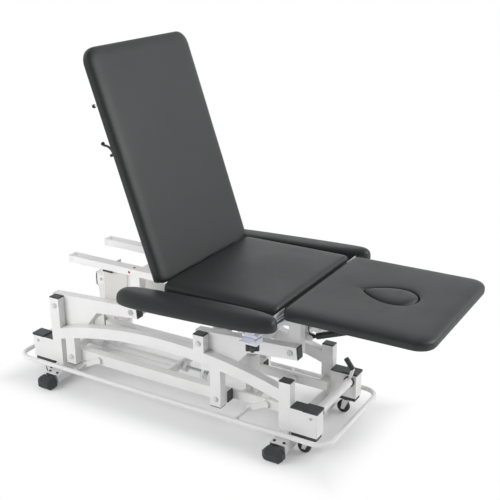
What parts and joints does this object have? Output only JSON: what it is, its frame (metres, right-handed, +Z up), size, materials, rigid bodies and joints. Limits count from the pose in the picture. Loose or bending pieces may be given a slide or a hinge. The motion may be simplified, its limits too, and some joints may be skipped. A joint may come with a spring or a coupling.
{
  "type": "treatment table",
  "caption": "Hydraulic treatment table with a raised back section, a seat, a head section with a face plug, two armrests and a foot bar around its arched base.",
  "frame": {"origin": "middle of the footprint at the floor", "axes": "X along the table toward the head section, Y across it toward the far side, Z up"},
  "size_m": [1.956, 0.922, 1.5089],
  "materials": {
    "white_paint": "satin powder coat",
    "lilac_paint": "satin powder coat",
    "black_plastic": "fine texture",
    "black_board": "black lacquer",
    "black_paint": "semi-gloss",
    "grey_trim": "smooth",
    "bare_steel": "brushed",
    "polished_rod": "polished",
    "vinyl": "grained vinyl",
    "wheel_rubber": "matt"
  },
  "bodies": {
    "base": {"side_frame_near": "white_paint", "side_frame_far": "white_paint", "frame_plugs": "black_plastic", "tie_beams": "white_paint", "sill_bars": "white_paint", "foot_tubes": "white_paint", "foot_blocks": "black_plastic", "foot_screws": "bare_steel", "corner_boxes": "white_paint", "box_covers": "black_plastic", "base_pins": "bare_steel", "pivot_covers": "grey_trim", "jack_barrel": "white_paint", "pump_unit": "white_paint"},
    "left_arms": {"left_arms": "white_paint", "left_arm_plugs": "black_plastic", "left_upper_pins": "bare_steel"},
    "right_arms": {"right_arms": "white_paint", "right_arm_plugs": "black_plastic", "right_upper_pins": "bare_steel"},
    "upper_frame": {"seat_rails": "white_paint", "left_down_legs": "white_paint", "right_down_legs": "white_paint", "seat_board": "black_board", "seat_cushion": "vinyl", "hinge_tube": "bare_steel", "armrest_brackets": "lilac_paint"},
    "back_section": {"back_frame": "white_paint", "back_board": "black_board", "back_cushion": "vinyl"},
    "head_section": {"head_frame": "white_paint", "head_board": "black_board", "head_cushion": "vinyl"},
    "jack_rod": {"jack_rod": "polished_rod"},
    "release_lever": {"release_lever": "black_plastic"},
    "back_spring_tube": {"back_spring_tube": "black_paint"},
    "back_spring_rod": {"back_spring_rod": "polished_rod"},
    "face_plug": {"face_plug": "vinyl"},
    "head_strut_tube": {"head_strut_tube": "black_paint"},
    "head_strut_rod": {"head_strut_rod": "polished_rod"},
    "armrest_near": {"armrest_near": "vinyl"},
    "armrest_far": {"armrest_far": "vinyl"},
    "knob_near": {"knob_near": "black_plastic"},
    "knob_far": {"knob_far": "black_plastic"},
    "rocker_right": {"rocker_right": "white_paint"},
    "rocker_left": {"rocker_left": "white_paint"},
    "foot_bar": {"foot_bar": "white_paint"},
    "lift_shaft_right": {"lift_shaft_right": "white_paint"},
    "lift_shaft_left": {"lift_shaft_left": "white_paint"},
    "carriers_right": {"carriers_right": "black_plastic"},
    "carriers_left": {"carriers_left": "black_plastic"},
    "fork_right_near": {"fork_right_near": "grey_trim"},
    "fork_right_far": {"fork_right_far": "grey_trim"},
    "fork_left_near": {"fork_left_near": "grey_trim"},
    "fork_left_far": {"fork_left_far": "grey_trim"},
    "wheel_right_near": {"wheel_right_near": "wheel_rubber"},
    "wheel_right_far": {"wheel_right_far": "wheel_rubber"},
    "wheel_left_near": {"wheel_left_near": "wheel_rubber"},
    "wheel_left_far": {"wheel_left_far": "wheel_rubber"}
  },
  "joints": [
    {"name": "lift", "type": "hinge", "parent": "base", "child": "left_arms", "pos_m": [-0.766, 0, 0.365], "axis": [0, -1, 0], "range_deg": [-6, 48]},
    {"name": "frame_level", "type": "hinge", "parent": "left_arms", "child": "upper_frame", "pos_m": [-0.37494, 0, 0.40403], "axis": [0, -1, 0], "range_deg": [-48.5, 6.5]},
    {"name": "right_arm_swing", "type": "hinge", "parent": "base", "child": "right_arms", "pos_m": [-0.012, 0, 0.365], "axis": [0, -1, 0], "range_deg": [-6.5, 48.5]},
    {"name": "jack_stroke", "type": "slide", "parent": "base", "child": "jack_rod", "axis": [1, 0, 0], "range_m": [-0.03, 0.225]},
    {"name": "back_tilt", "type": "hinge", "parent": "upper_frame", "child": "back_section", "pos_m": [-0.116, 0, 0.612], "axis": [0, 1, 0], "range_deg": [-71.1, 7]},
    {"name": "release", "type": "hinge", "parent": "back_section", "child": "release_lever", "pos_m": [-0.32497, -0.275, 1.11123], "axis": [0, -1, 0], "range_deg": [-18, 0], "stiffness_Nm_per_rad": 0.4, "springref_deg": 5.73},
    {"name": "back_spring_swing", "type": "hinge", "parent": "upper_frame", "child": "back_spring_tube", "pos_m": [-0.134, 0, 0.54], "axis": [0, 1, 0], "range_deg": [-58, 6.6]},
    {"name": "back_spring_stroke", "type": "slide", "parent": "back_spring_tube", "child": "back_spring_rod", "axis": [-0.3646, 0, 0.9311], "range_m": [-0.0751, 0.0083]},
    {"name": "head_tilt", "type": "hinge", "parent": "upper_frame", "child": "head_section", "pos_m": [0.412, 0, 0.614], "axis": [0, -1, 0], "range_deg": [-25, 30]},
    {"name": "head_strut_swing", "type": "hinge", "parent": "upper_frame", "child": "head_strut_tube", "pos_m": [0.42, -0.065, 0.44], "axis": [0, -1, 0], "range_deg": [-21.4, 25.4]},
    {"name": "head_strut_stroke", "type": "slide", "parent": "head_strut_tube", "child": "head_strut_rod", "axis": [0.9344, 0, 0.3561], "range_m": [-0.071, 0.085]},
    {"name": "plug_lift", "type": "slide", "parent": "head_section", "child": "face_plug", "axis": [0, 0, 1], "range_m": [0, 0.08]},
    {"name": "armrest_near_slide", "type": "slide", "parent": "upper_frame", "child": "armrest_near", "axis": [0, -1, 0], "range_m": [0, 0.05]},
    {"name": "armrest_far_slide", "type": "slide", "parent": "upper_frame", "child": "armrest_far", "axis": [0, 1, 0], "range_m": [0, 0.05]},
    {"name": "knob_near_turn", "type": "hinge", "parent": "armrest_near", "child": "knob_near", "pos_m": [0.346, -0.385, 0.52], "axis": [0, 0, 1], "range_deg": [0, 360]},
    {"name": "knob_far_turn", "type": "hinge", "parent": "armrest_far", "child": "knob_far", "pos_m": [0.346, 0.385, 0.52], "axis": [0, 0, 1], "range_deg": [0, 360]},
    {"name": "pump_press", "type": "hinge", "parent": "base", "child": "rocker_right", "pos_m": [0.256, 0, 0.134], "axis": [0, -1, 0], "range_deg": [0, 11], "stiffness_Nm_per_rad": 30, "springref_deg": -14.9},
    {"name": "bar_level", "type": "hinge", "parent": "rocker_right", "child": "foot_bar", "pos_m": [0.18, 0, 0.096], "axis": [0, -1, 0], "range_deg": [-11.5, 0.5]},
    {"name": "rocker_left_swing", "type": "hinge", "parent": "base", "child": "rocker_left", "pos_m": [-0.564, 0, 0.134], "axis": [0, -1, 0], "range_deg": [-0.5, 11.5]},
    {"name": "wheel_lift", "type": "hinge", "parent": "base", "child": "lift_shaft_right", "pos_m": [0.492, 0, 0.172], "axis": [0, -1, 0], "range_deg": [0, 30]},
    {"name": "wheel_lift_left", "type": "hinge", "parent": "base", "child": "lift_shaft_left", "pos_m": [-0.88, 0, 0.172], "axis": [0, 1, 0], "range_deg": [-0.5, 30.5]},
    {"name": "carriers_right_drop", "type": "slide", "parent": "base", "child": "carriers_right", "axis": [0, 0, -1], "range_m": [-0.0005, 0.0105]},
    {"name": "carriers_left_drop", "type": "slide", "parent": "base", "child": "carriers_left", "axis": [0, 0, -1], "range_m": [-0.0005, 0.0105]},
    {"name": "swivel_right_near", "type": "hinge", "parent": "carriers_right", "child": "fork_right_near", "pos_m": [0.468, -0.1765, 0.07], "axis": [0, 0, 1], "continuous": true},
    {"name": "roll_right_near", "type": "hinge", "parent": "fork_right_near", "child": "wheel_right_near", "pos_m": [0.454, -0.1765, 0.03], "axis": [0, 1, 0], "continuous": true},
    {"name": "swivel_right_far", "type": "hinge", "parent": "carriers_right", "child": "fork_right_far", "pos_m": [0.468, 0.1765, 0.07], "axis": [0, 0, 1], "continuous": true},
    {"name": "roll_right_far", "type": "hinge", "parent": "fork_right_far", "child": "wheel_right_far", "pos_m": [0.454, 0.1765, 0.03], "axis": [0, 1, 0], "continuous": true},
    {"name": "swivel_left_near", "type": "hinge", "parent": "carriers_left", "child": "fork_left_near", "pos_m": [-0.856, -0.1765, 0.07], "axis": [0, 0, 1], "continuous": true},
    {"name": "roll_left_near", "type": "hinge", "parent": "fork_left_near", "child": "wheel_left_near", "pos_m": [-0.842, -0.1765, 0.03], "axis": [0, 1, 0], "continuous": true},
    {"name": "swivel_left_far", "type": "hinge", "parent": "carriers_left", "child": "fork_left_far", "pos_m": [-0.856, 0.1765, 0.07], "axis": [0, 0, 1], "continuous": true},
    {"name": "roll_left_far", "type": "hinge", "parent": "fork_left_far", "child": "wheel_left_far", "pos_m": [-0.842, 0.1765, 0.03], "axis": [0, 1, 0], "continuous": true}
  ],
  "couplings": [
    {"joint": "frame_level", "follows": "lift", "ratio": -1},
    {"joint": "right_arm_swing", "follows": "lift", "ratio": 1},
    {"joint": "jack_stroke", "follows": "lift", "m_per_rad": 0.2634},
    {"joint": "back_spring_swing", "follows": "back_tilt", "ratio": 0.8016},
    {"joint": "back_spring_stroke", "follows": "back_tilt", "m_per_rad": 0.05973},
    {"joint": "head_strut_swing", "follows": "head_tilt", "ratio": 0.8147},
    {"joint": "head_strut_stroke", "follows": "head_tilt", "m_per_rad": 0.16037},
    {"joint": "bar_level", "follows": "pump_press", "ratio": -1},
    {"joint": "rocker_left_swing", "follows": "pump_press", "ratio": 1},
    {"joint": "wheel_lift_left", "follows": "wheel_lift", "ratio": 1},
    {"joint": "carriers_right_drop", "follows": "wheel_lift", "m_per_rad": 0.0191},
    {"joint": "carriers_left_drop", "follows": "wheel_lift", "m_per_rad": 0.0191}
  ]
}
